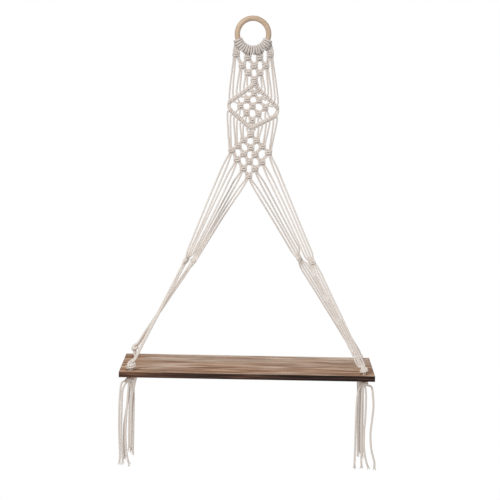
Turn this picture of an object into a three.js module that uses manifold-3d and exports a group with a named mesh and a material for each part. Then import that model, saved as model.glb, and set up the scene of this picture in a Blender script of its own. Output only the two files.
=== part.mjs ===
// A hanging rope shelf: a wooden board carried by four legs of knotted cotton cord under a wooden ring.
// Millimetres, +Z up, front towards -Y. The origin is where the ring bears on its nail.
import * as THREE from "three";
import { mergeVertices } from "three/addons/utils/BufferGeometryUtils.js";
import Module from "manifold-3d";

const wasm = await Module();
wasm.setup();

// Driving sizes
const ringOuterDiameter = 60;
const ringRodDiameter = 9;
const cordDiameter = 3.2;
const tightCordDiameter = 2.4;
const clearance = 0.3;
const boardWidth = 420;
const boardDepth = 140;
const boardThickness = 9;
const boardEdgeBevel = 0.8;
const boardTopDrop = 572;
const holeDiameter = 10;
const holeEndInset = 17;
const holeSideInset = 16;
const knotWidth = 11.5;
const knotHeight = 7.4;
const knotDepth = 7.6;
const headingDrop = 60.5;
const headingRise = 6;
const headingSpace = 5.9;
const upperRowSpace = 6.5;
const upperRowPitch = 11.6;
const centreKnotSpace = 11;
const centreKnotPitch = 6.4;
const diamondSpace = 5.5;
const diamondHalfWidth = 41.5;
const diamondHeight = 67.1;
const diamondCornerHeight = 11.5;
const diamondBarDiameter = 6;
const diamondRowSpace = 10.6;
const diamondRowPitch = 10.6;
const waistSpace = 3.9;
const lowerRowSpace = 6.6;
const lowerRowPitch = 11.5;
const lowerRowRise = 4.5;
const netKnotPitch = 20;
const headingKnotPitch = 18;
const frontMidKnot = { out: 103.5, forward: 26, drop: 392 };
const rearMidKnot = { out: 88, forward: -24.5, drop: 397 };
const midKnotWidth = 13;
const midKnotHeight = 9;
const boardKnotWidth = 15;
const boardKnotHeight = 10.6;
const rearLeftKnotLift = 13;
const sideExitBend = 6.4;

// The tassels' cords, each from the middle of its knot: across, back and drop of its points
const tasselDropShares = [0.038, 0.075, 0.135, 0.23, 0.385, 0.575, 0.757, 0.912, 1];
const tasselRoutes = {
  front_left: [
    {
      drop: 147,
      across: [-14.2, -15, -15.9, -16.8, -17.3, -17.4, -16.4, -15.9, -17.2],
      back: [0, -0.3, -0.6, -1, -1.4, -1.6, -1.6, -1.6, -1.6],
      sideExit: true,
    },
    {
      drop: 146.5,
      across: [-4.6, -7.2, -9.8, -10.6, -11.4, -12.1, -12.7, -12.2, -10.4],
      back: [0, -0.3, -0.6, -0.8, -0.8, -0.8, -0.8, -0.8, -0.8],
    },
    {
      drop: 149,
      across: [-1, -1.8, -2.6, -3.6, -5.2, -6.6, -6.2, -3.2, 0.2],
      back: [0, -0.2, -0.4, -0.6, -0.8, -1, -1, -1, -1],
    },
    {
      drop: 139,
      across: [2.6, 2, 0.4, -2, -6, -9.2, -9.6, -8.8, -8],
      back: [0, 1, 2.6, 3.8, 4.2, 4, 3.8, 3.6, 3.4],
    },
  ],
  rear_left: [
    {
      drop: 155,
      across: [-5.4, -7.4, -8.6, -9.2, -9.6, -10, -10.3, -10.3, -10.3],
      back: [0, -0.2, -0.4, -0.6, -0.8, -0.8, -0.8, -0.8, -0.8],
    },
    {
      drop: 163,
      across: [-1.8, -2.2, -2.6, -2.8, -2.4, -2.6, -2.9, -3.2, -3.6],
      back: [0, 0.1, 0.2, 0.2, 0.2, 0.2, 0.2, 0.2, 0.2],
    },
    {
      drop: 158,
      across: [1.9, 1.1, -1.2, -4, -5.8, -6.2, -6.6, -6.8, -7],
      back: [0, 2.4, 4, 4.2, 3.6, 3.4, 3.2, 3.2, 3.2],
    },
    {
      drop: 154,
      across: [5.4, 4.6, 2.4, -1, -5, -6.2, -6.5, -6.7, -6.8],
      back: [0, -1.6, -3.6, -4.2, -3.4, -1.6, -1.2, -1, -1],
    },
  ],
  front_right: [
    {
      drop: 147.5,
      across: [-5.4, -8, -9.8, -10.8, -11.3, -11.6, -11.6, -11.8, -12.1],
      back: [0, -0.2, -0.4, -0.6, -0.6, -0.6, -0.6, -0.6, -0.6],
    },
    {
      drop: 147,
      across: [-1.8, -2.2, -2.4, -2.5, -2.4, -2.1, -1.4, -0.5, 0],
      back: [0, 0.1, 0.2, 0.4, 0.4, 0.4, 0.4, 0.4, 0.4],
    },
    {
      drop: 147,
      across: [1.8, 3, 3.8, 4.1, 3.9, 2.6, 3.4, 7.6, 12],
      back: [0, -0.2, -0.4, -0.6, -0.8, -1, -1, -1, -1],
    },
    {
      drop: 148.5,
      across: [13.8, 14.7, 15.8, 17, 15.6, 13.4, 15.6, 21.2, 21.9],
      back: [0, 0.2, 0.6, 0.8, 1, 1.2, 1.2, 1.2, 1.2],
      sideExit: true,
    },
  ],
  rear_right: [
    {
      drop: 157,
      across: [-5.4, -4.6, -3, -2, -1.4, -0.8, -0.2, 0.4, 1],
      back: [0, -0.6, -1.4, -2, -2.4, -2.4, -2.4, -2.4, -2.4],
    },
    {
      drop: 152,
      across: [-1.8, -0.8, 0.6, 1.8, 2.6, 3, 3.4, 3.8, 4.4],
      back: [0, 0.4, 0.9, 1.4, 1.6, 1.6, 1.6, 1.6, 1.6],
    },
    {
      drop: 155,
      across: [1.8, 2.6, 3.6, 4.4, 4.8, 5.2, 5.4, 5.6, 5.8],
      back: [0, 1.6, 3.2, 4.4, 4.8, 4.8, 4.8, 4.8, 4.8],
    },
    {
      drop: 161,
      across: [5.4, 5.6, 5.8, 6.4, 7, 7.4, 8, 8.6, 9.1],
      back: [0, -0.8, -1.4, -2, -2.4, -2.6, -2.6, -2.6, -2.6],
    },
  ],
};

// Counts
const hitchCount = 8;
const cordCount = 2 * hitchCount;
const cordsPerKnot = 4;
const halfCords = hitchCount;
const sideCordCount = 2;
const cornerCordCount = 1;
const coreCordCount = 2;
const barHitches = halfCords - coreCordCount / 2;
const upperCounts = [3, 2];
const centreCounts = [1, 1];
const diamondCounts = [1, 2, 3, 2, 1];
const lowerCounts = [1, 2, 3, 4, 3, 2, 1];
const ringSteps = 28;
const ringSides = 8;
const beadSides = 8;
const cordSides = 8;
const netCordSides = 4;
const legCordSides = 5;
const barSides = 6;
const hitchSteps = 11;
const turnSides = 8;
const tasselSteps = 16;
const pivotSides = 12;
const holeSegments = 6;

// Shares of the sizes above, and angles
const hitchArc = THREE.MathUtils.degToRad(144);
const turnDegrees = [285, 240, 180, 120, 60, 0];
const bightDegrees = -40;
const entryShare = 0.225;
const knotFlatShare = 0.55;
const knotBevelShare = 0.09;
const barWaistShare = 0.84;
const bundleShare = 0.86;

// Sizes worked out from them
const cordRadius = cordDiameter / 2;
const tightCordRadius = tightCordDiameter / 2;
const ringRodRadius = ringRodDiameter / 2;
const ringRadius = ringOuterDiameter / 2 - ringRodRadius;
const ringCentreZ = -(ringRadius - ringRodRadius);
const boardTopZ = -boardTopDrop;
const boardBottomZ = boardTopZ - boardThickness;
const holeX = boardWidth / 2 - holeEndInset;
const holeY = boardDepth / 2 - holeSideInset;
const upperHingeDrop = headingDrop + headingSpace;
const upperRowDrop = upperHingeDrop + upperRowSpace;
const centreKnotDrop = upperRowDrop + upperRowPitch * (upperCounts.length - 1) + centreKnotSpace;
const centreEndDrop = centreKnotDrop + centreKnotPitch * (centreCounts.length - 1);
const diamondTopDrop = centreEndDrop + diamondSpace;
const diamondRowDrop = diamondTopDrop + diamondRowSpace;
const waistHingeDrop = diamondTopDrop + diamondHeight + waistSpace;
const lowerRowDrop = waistHingeDrop + lowerRowSpace;
const diamondMiddleZ = -(diamondTopDrop + diamondHeight / 2);
const underKnotZ = boardBottomZ - clearance - boardKnotHeight / 2;
const seatedKnotZ = boardTopZ + clearance + boardKnotHeight / 2;
const raisedKnotZ = boardTopZ + rearLeftKnotLift;
const weldDistance = cordDiameter / 10000;
const reach = boardWidth;

// Colours and finishes
const beech = { color: 0xd8b58c, roughness: 0.5 };
const cotton = { color: 0xe2d8cd, roughness: 0.95 };
const toastedWood = { color: 0x8d7260, roughness: 0.6 };

const hangingShelf = new THREE.Group();

function addPart(name, solid, finish) {
  const made = solid.getMesh();
  const geometry = new THREE.BufferGeometry();
  geometry.setAttribute("position", new THREE.BufferAttribute(made.vertProperties, made.numProp));
  geometry.setIndex(new THREE.BufferAttribute(made.triVerts, 1));
  const mesh = new THREE.Mesh(geometry, new THREE.MeshStandardMaterial({ metalness: 0, ...finish }));
  mesh.name = name;
  hangingShelf.add(mesh);
}

// A three.js geometry as a solid that can be cut and joined.
function solidOf(geometry) {
  const bare = geometry.clone();
  bare.deleteAttribute("normal");
  bare.deleteAttribute("uv");
  const merged = mergeVertices(bare, weldDistance);
  return new wasm.Manifold(
    new wasm.Mesh({
      numProp: 3,
      vertProperties: merged.attributes.position.array,
      triVerts: new Uint32Array(merged.index.array),
    }),
  );
}

function joined(solids) {
  return solids.reduce((whole, solid) => whole.add(solid));
}

function roundSection(radius, sides) {
  const points = [];
  for (let i = 0; i < sides; i++) {
    const angle = (2 * Math.PI * (i + 0.5)) / sides;
    points.push(new THREE.Vector2(radius * Math.cos(angle), radius * Math.sin(angle)));
  }
  return new THREE.Shape(points);
}

function tube(path, radius, sides, steps) {
  const section = roundSection(radius, sides);
  return solidOf(new THREE.ExtrudeGeometry(section, { steps, bevelEnabled: false, extrudePath: path }));
}

function straightCord(from, to, radius = tightCordRadius, sides = netCordSides) {
  return tube(new THREE.LineCurve3(from, to), radius, sides, 1);
}

function at(x, y, z) {
  return new THREE.Vector3(x, y, z);
}

// A half space above or below a height, as a large block.
function blockAbove(z) {
  const block = new THREE.BoxGeometry(reach, reach, reach);
  block.translate(0, 0, z + reach / 2);
  return solidOf(block);
}

function blockBelow(z) {
  const block = new THREE.BoxGeometry(reach, reach, reach);
  block.translate(0, 0, z - reach / 2);
  return solidOf(block);
}

function blockBeside(x, side) {
  const block = new THREE.BoxGeometry(reach, reach, reach);
  block.translate(x + (side * reach) / 2, 0, diamondMiddleZ);
  return solidOf(block);
}

// A round bar along X, about which cords bend.
function crossBar(radius, length, x, y, z) {
  const bar = new THREE.CylinderGeometry(radius, radius, length, pivotSides);
  bar.rotateZ(Math.PI / 2);
  bar.translate(x, y, z);
  return solidOf(bar);
}

// Cords end round above a bending line and start hollow below it, so that they turn about it freely.
function endAbove(solid, z) {
  const below = blockBelow(z).subtract(crossBar(cordRadius, reach, 0, 0, z));
  return solid.subtract(below);
}

function startBelow(solid, z) {
  const above = blockAbove(z).add(crossBar(cordRadius + clearance, reach, 0, 0, z));
  return solid.subtract(above);
}

// A square knot, as a short bar across its cords, six-sided and narrower at its ends.
function squareKnot(x, y, z, width, height, turn = 0, grow = 0) {
  const halfDepth = knotDepth / 2 + grow;
  const halfHeight = height / 2 + grow;
  const length = width + 2 * grow;
  const bevel = length * knotBevelShare;
  const flat = halfDepth * knotFlatShare;
  const section = new THREE.Shape();
  section.moveTo(flat, halfHeight);
  section.lineTo(halfDepth, 0);
  section.lineTo(flat, -halfHeight);
  section.lineTo(-flat, -halfHeight);
  section.lineTo(-halfDepth, 0);
  section.lineTo(-flat, halfHeight);
  const knot = new THREE.ExtrudeGeometry(section, {
    depth: length - 2 * bevel,
    bevelThickness: bevel,
    bevelSize: bevel / 2,
    bevelOffset: -bevel / 2,
    bevelSegments: 1,
    steps: 1,
  });
  knot.translate(0, 0, bevel - length / 2);
  knot.applyMatrix4(new THREE.Matrix4().makeBasis(at(0, 1, 0), at(0, 0, 1), at(1, 0, 0)));
  knot.rotateY(turn);
  knot.translate(x, y, z);
  return solidOf(knot);
}

// The places of the four cords across a knot.
function cordOffset(place, width) {
  return (place - (cordsPerKnot - 1) / 2) * width * entryShare;
}

// A row of a net: how many knots it has, the first cord each uses, and where the knots lie.
function knotRow(count, drop, pitch, rise = 0, cords = cordCount) {
  const row = [];
  const first = (cords - cordsPerKnot * count) / 2;
  for (let i = 0; i < count; i++) {
    const share = i - (count - 1) / 2;
    const lift = count > 1 ? rise * (Math.abs(share) / ((count - 1) / 2)) ** 2 : 0;
    row.push({ first: first + cordsPerKnot * i, x: share * pitch, z: lift - drop });
  }
  return row;
}

// Ties a row: cords run from their last places to the knots, which become their new places.
function tieRow(row, places, solids) {
  for (const knot of row) {
    solids.push(squareKnot(knot.x, 0, knot.z, knotWidth, knotHeight));
    for (let i = 0; i < cordsPerKnot; i++) {
      const x = knot.x + cordOffset(i, knotWidth);
      const from = places[knot.first + i];
      if (from) {
        solids.push(straightCord(from, at(x, 0, knot.z)));
      }
      places[knot.first + i] = at(x, 0, knot.z);
    }
  }
}

function grownKnot(knot) {
  return squareKnot(knot.x, 0, knot.z, knotWidth, knotHeight, 0, clearance);
}

function grownKnots(rows) {
  return joined(rows.flat().map(grownKnot));
}

// Ring
const ringCircle = new THREE.TorusGeometry(ringRadius, ringRodRadius, ringSides, ringSteps);
ringCircle.rotateX(Math.PI / 2);
ringCircle.translate(0, 0, ringCentreZ);
addPart("hanging_ring", solidOf(ringCircle), beech);

// Heading: eight folded cords hitched round the ring, and the first row of knots under them
const headingRow = knotRow(hitchCount / 2, headingDrop, headingKnotPitch, headingRise);
const headingCut = grownKnots([headingRow]);
const turnRadius = (ringRodRadius + clearance + tightCordRadius) / Math.cos(Math.PI / turnSides);
const turnOffset = (tightCordDiameter + clearance / 2) / 2;
const bightAngle = THREE.MathUtils.degToRad(bightDegrees);
const bightRadius = turnRadius + tightCordRadius;
const bightHalf = turnOffset + tightCordRadius * bundleShare;

function hitchPoint(hitchAngle, turnAngle, radius, along) {
  const out = ringRadius + radius * Math.cos(turnAngle);
  const x = out * Math.sin(hitchAngle) + along * Math.cos(hitchAngle);
  const z = ringCentreZ - out * Math.cos(hitchAngle) + along * Math.sin(hitchAngle);
  return at(x, -radius * Math.sin(turnAngle), z);
}

function hitchTurn(hitchAngle, side, end) {
  const points = [end, at(end.x, end.y + cordRadius, end.z + knotHeight / 2 + cordRadius)];
  for (const degrees of turnDegrees) {
    const turnAngle = THREE.MathUtils.degToRad(degrees);
    points.push(hitchPoint(hitchAngle, turnAngle, turnRadius, side * turnOffset));
  }
  const path = new THREE.CatmullRomCurve3(points, false, "centripetal");
  return tube(path, tightCordRadius, netCordSides, hitchSteps);
}

for (let i = 0; i < hitchCount; i++) {
  const hitchAngle = hitchArc * ((i + 0.5) / hitchCount - 0.5);
  const knot = headingRow[Math.floor(i / 2)];
  const bightFrom = hitchPoint(hitchAngle, bightAngle, bightRadius, -bightHalf);
  const bightTo = hitchPoint(hitchAngle, bightAngle, bightRadius, bightHalf);
  const solids = [straightCord(bightFrom, bightTo)];
  for (const side of [-1, 1]) {
    const place = 2 * (i % 2) + (side + 1) / 2;
    const end = at(knot.x + cordOffset(place, knotWidth), 0, knot.z);
    const turnEnd = hitchPoint(hitchAngle, 0, turnRadius, side * turnOffset);
    const bight = hitchPoint(hitchAngle, bightAngle, bightRadius, side * turnOffset);
    solids.push(hitchTurn(hitchAngle, side, end), straightCord(turnEnd, bight));
  }
  addPart("ring_hitch_" + (i + 1), joined(solids).subtract(headingCut), cotton);
}

// Places where the cords cross the upper bending line, from left to right
const upperRows = upperCounts.map((count, i) =>
  knotRow(count, upperRowDrop + i * upperRowPitch, headingKnotPitch),
);
const upperHingeZ = -upperHingeDrop;
const upperCrossings = [];
headingRow.forEach((knot, i) => {
  const solids = [squareKnot(knot.x, 0, knot.z, knotWidth, knotHeight)];
  for (let place = 0; place < cordsPerKnot; place++) {
    const index = cordsPerKnot * i + place;
    const x = knot.x + cordOffset(place, knotWidth);
    const row = upperRows[0].find((next) => index >= next.first && index < next.first + cordsPerKnot);
    const target = row
      ? at(row.x + cordOffset(index - row.first, knotWidth), 0, row.z)
      : at(Math.sign(x) * (Math.abs(x) + cordRadius), 0, -diamondTopDrop);
    const from = at(x, 0, knot.z);
    const share = (from.z - upperHingeZ) / (from.z - target.z);
    const crossing = from.clone().lerp(target, share);
    upperCrossings.push(crossing);
    const past = from.clone().lerp(target, share + cordDiameter / from.distanceTo(target));
    solids.push(straightCord(from, past));
  }
  addPart("heading_knot_" + (i + 1), endAbove(joined(solids), upperHingeZ), cotton);
});

// Upper net: two knots' rows and a long centre knot, narrowing to a point
function beforeCrossing(crossing, towards) {
  const distance = crossing.distanceTo(towards);
  return crossing.clone().lerp(towards, -cordDiameter / distance);
}

const upperNet = [];
const places = upperCrossings.map(() => null);
for (const knot of upperRows[0]) {
  for (let i = 0; i < cordsPerKnot; i++) {
    const x = knot.x + cordOffset(i, knotWidth);
    places[knot.first + i] = beforeCrossing(upperCrossings[knot.first + i], at(x, 0, knot.z));
  }
}
const centreRows = centreCounts.map((count, i) =>
  knotRow(count, centreKnotDrop + i * centreKnotPitch, headingKnotPitch),
);
for (const row of [...upperRows, ...centreRows]) {
  tieRow(row, places, upperNet);
}

// Diamond: four bars of double half hitches round an open net
const diamondTopZ = -diamondTopDrop;
const diamondBottomZ = diamondTopZ - diamondHeight;
const barRadius = diamondBarDiameter / 2;

// The height of a bar's middle. At the corners the bars end one above the other.
function barZ(x, upper) {
  const fall = (diamondHeight - diamondCornerHeight) / 2;
  const rise = diamondHeight / 2 - (fall * Math.abs(x)) / diamondHalfWidth;
  return diamondMiddleZ + (upper ? rise : -rise);
}

// Where a cord meets a bar: the centre pair are the bars' cores, and each other cord has a hitch.
function barX(place) {
  const fromMiddle = place + 0.5 - halfCords;
  const hitches = Math.abs(fromMiddle) - coreCordCount / 2;
  if (hitches < 0) {
    return fromMiddle * tightCordDiameter;
  }
  return (Math.sign(fromMiddle) * diamondHalfWidth * hitches) / barHitches;
}

function hitchBar(side, upper, grow = 0) {
  const middle = at(0, 0, upper ? diamondTopZ : diamondBottomZ);
  const corner = at(side * diamondHalfWidth, 0, barZ(diamondHalfWidth, upper));
  const direction = corner.clone().sub(middle);
  const length = direction.length();
  const pitch = length / barHitches;
  const waist = barRadius * barWaistShare + grow;
  const profile = [new THREE.Vector2(0, -grow), new THREE.Vector2(waist, -grow)];
  for (let i = 0; i < barHitches; i++) {
    profile.push(new THREE.Vector2(barRadius + grow, pitch * (i + 0.5)));
    if (i < barHitches - 1) {
      profile.push(new THREE.Vector2(waist, pitch * (i + 1)));
    }
  }
  profile.push(new THREE.Vector2(waist, length + grow));
  profile.push(new THREE.Vector2(0, length + grow));
  const bar = new THREE.LatheGeometry(profile, barSides);
  const turn = new THREE.Quaternion().setFromUnitVectors(at(0, 1, 0), direction.normalize());
  bar.applyQuaternion(turn);
  bar.translate(middle.x, middle.y, middle.z);
  return solidOf(bar);
}

const barCuts = {};
for (const side of [-1, 1]) {
  for (const upper of [true, false]) {
    barCuts[side + "," + upper] = hitchBar(side, upper, clearance);
  }
}
const allBarCuts = joined(Object.values(barCuts));
const lastUpper = centreRows[centreRows.length - 1][0];
for (let i = 0; i < cordsPerKnot; i++) {
  const place = lastUpper.first + i;
  const x = barX(place);
  upperNet.push(straightCord(places[place], at(x, 0, barZ(x, true))));
}
addPart("upper_net", startBelow(joined(upperNet), upperHingeZ).subtract(allBarCuts), cotton);

const hitchedCords = 2 * barHitches;
const diamondRows = diamondCounts.map((count, i) =>
  knotRow(count, diamondRowDrop + i * diamondRowPitch, netKnotPitch, 0, hitchedCords),
);
const diamondX = [];
for (let i = 0; i < hitchedCords; i++) {
  diamondX.push(barX(i < barHitches ? i : i + coreCordCount));
}
const diamondPlaces = diamondX.map((x) => at(x, 0, barZ(x, true)));
const diamondNet = [];
for (const row of diamondRows) {
  tieRow(row, diamondPlaces, diamondNet);
}
for (let i = cornerCordCount; i < hitchedCords - cornerCordCount; i++) {
  diamondNet.push(straightCord(diamondPlaces[i], at(diamondX[i], 0, barZ(diamondX[i], false))));
}
addPart("diamond_net", joined(diamondNet).subtract(allBarCuts), cotton);

// Where the cords cross the waist, from left to right, and the net below it
const widestCount = Math.max(...lowerCounts);
const lowerRows = lowerCounts.map((count, i) => {
  const rise = (lowerRowRise * (count - 1)) / (widestCount - 1);
  return knotRow(count, lowerRowDrop + i * lowerRowPitch, netKnotPitch, rise);
});
const waistZ = -waistHingeDrop;
const waistCrossings = [];
for (let place = 0; place < cordCount; place++) {
  const knot = lowerRows.flat().find((one) => place >= one.first && place < one.first + cordsPerKnot);
  const target = at(knot.x + cordOffset(place - knot.first, knotWidth), 0, knot.z);
  const from = at(barX(place), 0, barZ(barX(place), false));
  const share = (from.z - waistZ) / (from.z - target.z);
  waistCrossings.push({ from, target, at: from.clone().lerp(target, share) });
}

for (const [sideName, side] of [["left", -1], ["right", 1]]) {
  const own = (place) => (side < 0 ? place < halfCords : place >= halfCords);
  const middleGap = blockBeside((side * clearance) / 2, -side);
  const upper = [hitchBar(side, true)];
  const lower = [hitchBar(side, false)];
  for (let place = 0; place < cordCount; place++) {
    if (!own(place)) {
      continue;
    }
    const x = barX(place);
    const last = place < halfCords ? place : cordCount - 1 - place;
    const onBar = at(x, 0, barZ(x, true));
    if (last < sideCordCount) {
      const start = beforeCrossing(upperCrossings[place], onBar);
      upper.push(straightCord(start, onBar, cordRadius, legCordSides));
    } else if (last < halfCords - coreCordCount) {
      const knot = upperRows[last < cordsPerKnot ? 0 : 1].at(side < 0 ? 0 : -1);
      const start = at(knot.x + cordOffset(place - knot.first, knotWidth), 0, knot.z);
      upper.push(straightCord(start, onBar));
    }
    if (last < cornerCordCount) {
      lower.push(straightCord(onBar, at(x, 0, barZ(x, false))));
    }
    const crossing = waistCrossings[place];
    const radius = last < halfCords - coreCordCount ? cordRadius : tightCordRadius;
    const to = beforeCrossing(crossing.at, crossing.from);
    lower.push(straightCord(crossing.from, to, radius, legCordSides));
  }
  const upperCut = grownKnots([...upperRows, ...centreRows]);
  const upperBar = startBelow(joined(upper), upperHingeZ).subtract(upperCut).subtract(middleGap);
  addPart("diamond_bar_upper_" + sideName, upperBar, cotton);
  const otherBar = hitchBar(side, true, clearance);
  const lowerBar = endAbove(joined(lower), waistZ).subtract(otherBar).subtract(middleGap);
  addPart("diamond_bar_lower_" + sideName, lowerBar, cotton);
}

const lowerNet = [];
const lowerPlaces = waistCrossings.map((crossing) => beforeCrossing(crossing.at, crossing.target));
for (const row of lowerRows) {
  tieRow(row, lowerPlaces, lowerNet);
}
addPart("lower_net", startBelow(joined(lowerNet), waistZ), cotton);
const lowerCut = grownKnots(lowerRows);

// Legs: the outer four cords of each side go to the front hole, the inner four to the rear one
const bunchOffset = cordRadius * bundleShare;
const knotRoundShares = [
  [0, 1],
  [0.6, 0.96],
  [0.9, 0.78],
  [1, 0.46],
];

// An overhand knot, as a round bead along X.
function roundKnot(x, y, z, grow = 0) {
  const half = boardKnotWidth / 2 + grow;
  const radius = boardKnotHeight / 2 + grow;
  const profile = [];
  for (const [out, along] of knotRoundShares) {
    profile.push(new THREE.Vector2(radius * out, -half * along));
  }
  for (const [out, along] of knotRoundShares.toReversed()) {
    profile.push(new THREE.Vector2(radius * out, half * along));
  }
  const bead = new THREE.LatheGeometry(profile, beadSides);
  bead.rotateZ(Math.PI / 2);
  bead.translate(x, y, z);
  return solidOf(bead);
}

// Four cords side by side, two and two, as they pass through a hole
function bunchPlace(centre, i, z) {
  const out = i % 2 ? 1 : -1;
  const back = i < 2 ? -1 : 1;
  return at(centre.x + out * bunchOffset, centre.y + back * bunchOffset, z);
}

function tasselPath(route, knot) {
  const points = [];
  if (route.sideExit) {
    const out = Math.sign(route.across[0]);
    const end = boardKnotWidth / 2 + clearance;
    const bendShare = Math.SQRT1_2;
    points.push(at(knot.x + out * end, knot.y, knot.z));
    points.push(at(knot.x + out * (end + clearance), knot.y, knot.z));
    const bendX = knot.x + out * (end + sideExitBend * bendShare);
    points.push(at(bendX, knot.y, knot.z - sideExitBend * (1 - bendShare)));
  } else {
    points.push(at(knot.x + route.across[0], knot.y, knot.z - boardKnotHeight / 2 - clearance));
  }
  tasselDropShares.forEach((share, i) => {
    points.push(at(knot.x + route.across[i], knot.y + route.back[i], knot.z - share * route.drop));
  });
  return new THREE.CatmullRomCurve3(points, false, "centripetal");
}

function makeLeg(front, side) {
  const place = (front ? "front" : "rear") + "_" + (side < 0 ? "left" : "right");
  const mid = front ? frontMidKnot : rearMidKnot;
  const midKnot = at(side * mid.out, -mid.forward, -mid.drop);
  const raised = !front && side < 0;
  const topKnot = at(side * holeX, front ? -holeY : holeY, raised ? raisedKnotZ : seatedKnotZ);
  const underKnot = at(topKnot.x, topKnot.y, underKnotZ);

  // From the net to the knot half way down, and on to the knot over the board
  const slope = topKnot.clone().sub(midKnot);
  const turn = -Math.atan2(slope.x, -slope.z);
  const across = at(Math.cos(turn), 0, -Math.sin(turn));
  const { x, y, z } = midKnot;
  const midCut = squareKnot(x, y, z, midKnotWidth, midKnotHeight, turn, clearance);
  const fan = [squareKnot(x, y, z, midKnotWidth, midKnotHeight, turn)];
  const cords = [];
  for (let i = 0; i < cordsPerKnot; i++) {
    const fromSide = (front ? 0 : cordsPerKnot) + i;
    const netPlace = side < 0 ? fromSide : cordCount - cordsPerKnot - (front ? 0 : cordsPerKnot) + i;
    const top = midKnot.clone().addScaledVector(across, cordOffset(i, midKnotWidth));
    fan.push(straightCord(lowerPlaces[netPlace], top, cordRadius, legCordSides));
    const order = [0, 2, 3, 1][i];
    cords.push(straightCord(top, bunchPlace(topKnot, order, topKnot.z), cordRadius, legCordSides));
  }
  const topCut = roundKnot(topKnot.x, topKnot.y, topKnot.z, clearance);
  addPart("leg_fan_" + place, joined(fan).subtract(lowerCut), cotton);
  addPart("leg_cords_" + place, joined(cords).subtract(midCut).subtract(topCut), cotton);
  addPart("top_knot_" + place, roundKnot(topKnot.x, topKnot.y, topKnot.z), cotton);

  // The knot under the board, with its cords up through the hole
  const under = [roundKnot(underKnot.x, underKnot.y, underKnot.z)];
  for (let i = 0; i < cordsPerKnot; i++) {
    const from = bunchPlace(underKnot, i, underKnot.z);
    under.push(straightCord(from, bunchPlace(underKnot, i, topKnot.z), cordRadius, legCordSides));
  }
  addPart("under_knot_" + place, joined(under).subtract(topCut), cotton);

  // The tassel's free cords, which turn about the middle of their knot
  tasselRoutes[place].forEach((route, i) => {
    const cord = tube(tasselPath(route, underKnot), cordRadius, cordSides, tasselSteps);
    addPart("tassel_cord_" + place + "_" + (i + 1), cord, cotton);
  });
}

for (const side of [-1, 1]) {
  makeLeg(true, side);
  makeLeg(false, side);
}

// Board
const outline = new THREE.Shape();
outline.moveTo(-boardWidth / 2, -boardDepth / 2);
outline.lineTo(boardWidth / 2, -boardDepth / 2);
outline.lineTo(boardWidth / 2, boardDepth / 2);
outline.lineTo(-boardWidth / 2, boardDepth / 2);
for (const x of [-holeX, holeX]) {
  for (const y of [-holeY, holeY]) {
    const hole = new THREE.Path();
    hole.absarc(x, y, holeDiameter / 2, 0, 2 * Math.PI, true);
    outline.holes.push(hole);
  }
}
const board = new THREE.ExtrudeGeometry(outline, {
  depth: boardThickness - 2 * boardEdgeBevel,
  bevelThickness: boardEdgeBevel,
  bevelSize: boardEdgeBevel,
  bevelOffset: -boardEdgeBevel,
  bevelSegments: 1,
  curveSegments: holeSegments,
});
board.translate(0, 0, boardBottomZ + boardEdgeBevel);
addPart("shelf_board", solidOf(board), toastedWood);

export default hangingShelf;
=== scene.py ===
import math
import random

import bpy
import numpy as np
from mathutils import Matrix, Vector


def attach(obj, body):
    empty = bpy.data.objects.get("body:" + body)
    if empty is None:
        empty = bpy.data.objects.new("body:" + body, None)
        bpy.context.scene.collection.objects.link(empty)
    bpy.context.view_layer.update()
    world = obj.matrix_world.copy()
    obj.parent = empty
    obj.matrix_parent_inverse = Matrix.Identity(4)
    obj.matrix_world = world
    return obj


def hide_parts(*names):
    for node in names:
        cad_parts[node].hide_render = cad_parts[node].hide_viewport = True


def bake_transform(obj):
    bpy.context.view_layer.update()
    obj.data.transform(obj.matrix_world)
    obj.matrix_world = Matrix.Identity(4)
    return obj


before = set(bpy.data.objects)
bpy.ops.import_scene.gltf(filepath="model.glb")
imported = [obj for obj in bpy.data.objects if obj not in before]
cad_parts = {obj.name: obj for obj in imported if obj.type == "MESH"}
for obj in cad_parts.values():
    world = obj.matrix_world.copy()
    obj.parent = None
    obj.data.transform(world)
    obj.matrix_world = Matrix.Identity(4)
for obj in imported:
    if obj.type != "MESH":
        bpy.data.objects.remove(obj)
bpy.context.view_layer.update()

chance = random.Random(11)

# Lengths in metres, with the CAD model's names
MM = 0.001
RING_CENTRE_Z = -0.021
RING_RADIUS = 0.0255
RING_ROD_RADIUS = 0.0045
CORD_RADIUS = 0.0016
BOARD = Vector((0.420, 0.140, 0.009))
BOARD_TOP_Z = -0.572
HOLE_RADIUS = 0.005
HOLE_X = 0.193
HOLE_Y = 0.054
UNDER_KNOT_Z = -0.5866
HEADING_END_Z = -0.0636

# The rope: three plies that turn once in a pitch, drawn with a section at every step
PLY_PITCH = 0.0098
ROPE_STEP = 0.0012
SECTION_POINTS = 12
# Points of a cord's line that are nearer than this become one
NEAREST = 0.00005
# Four points of the section make a ply: how far out each lies, and how deep in a crease, which sets
# the cotton's painted crease shade
PLY_REACH = (1.0, 0.95, 0.8, 0.95)
PLY_CREASE_SHADE = (0.0, 0.25, 1.0, 0.25)

# Girths: how much of its full thickness a cord keeps where it is drawn tight
LOOSE = 1.12
FREE = 1.0
WRAPPED = 0.95
CORE = 0.88
HIDDEN = 0.65

# The photograph's camera: its place, its angles in radians and its lens and sensor in millimetres
CAMERA_PLACE = (0.01291, -2.45513, -0.00817)
CAMERA_PITCH = 0.149
CAMERA_YAW = -0.00477
CAMERA_ROLL = 0.0173
CAMERA_LENS = 107.43
CAMERA_SENSOR = 36


def deselect():
    bpy.ops.object.select_all(action="DESELECT")


def make_active(piece):
    deselect()
    piece.select_set(True)
    bpy.context.view_layer.objects.active = piece


def settle(piece):
    """Puts a piece's place into its mesh."""
    make_active(piece)
    bpy.ops.object.transform_apply(location=True, rotation=True, scale=True)


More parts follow.
